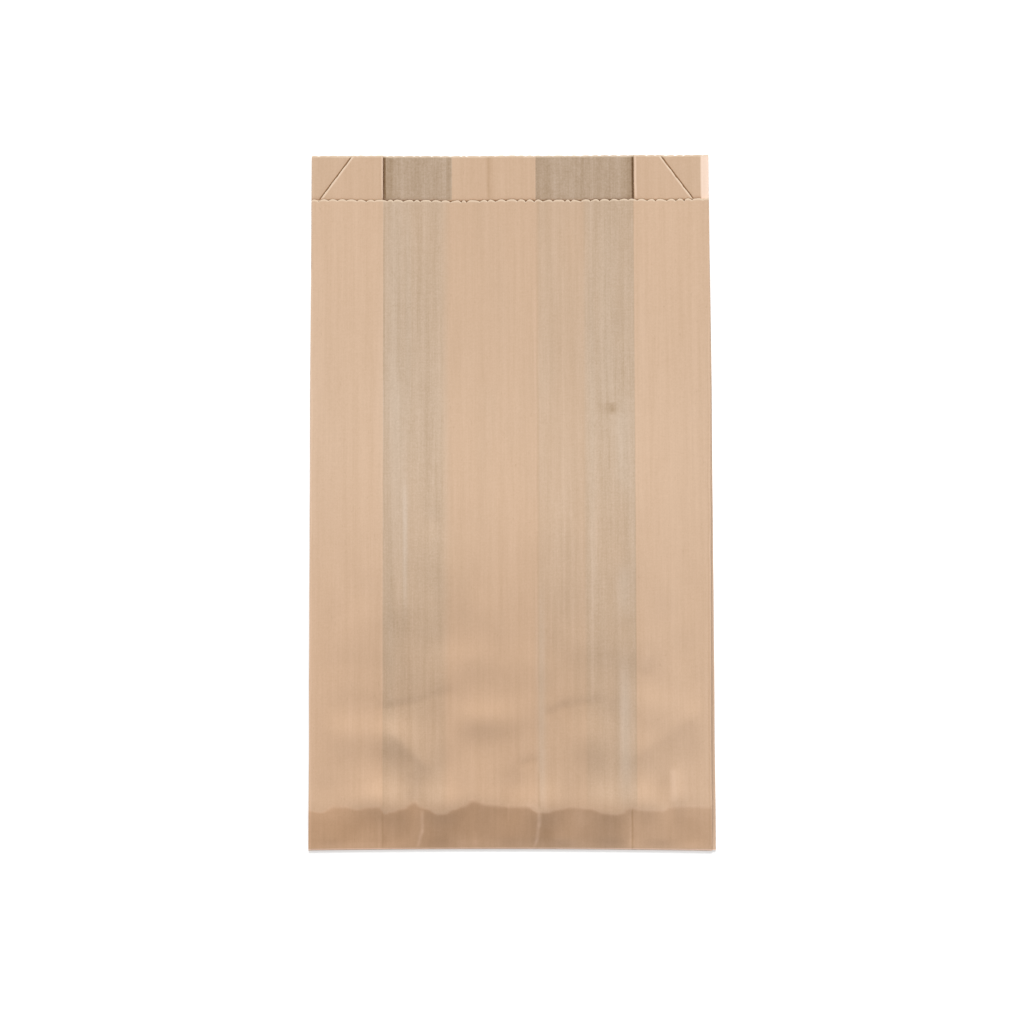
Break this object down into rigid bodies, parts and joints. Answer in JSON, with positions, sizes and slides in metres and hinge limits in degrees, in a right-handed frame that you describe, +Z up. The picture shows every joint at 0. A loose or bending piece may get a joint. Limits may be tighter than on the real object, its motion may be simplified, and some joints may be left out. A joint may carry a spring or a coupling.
{
  "type": "flat paper bag with side gussets",
  "caption": "Flat kraft paper bag with side gussets, a lapped back, a glued bottom flap and a stepped, toothed mouth, lying empty on its back.",
  "frame": {"origin": "middle of the bag's box, on the surface that the bag lies on", "axes": "+Z up through the front, +Y along the bag from the bottom fold to the mouth, +X across to the right"},
  "size_m": [0.17, 0.3, 0.004],
  "materials": {
    "kraft_paper": "natural unbleached kraft, machine glazed, with fine lengthwise streaks"
  },
  "bodies": {
    "root": {"paper_bag": "kraft_paper"}
  },
  "joints": []
}
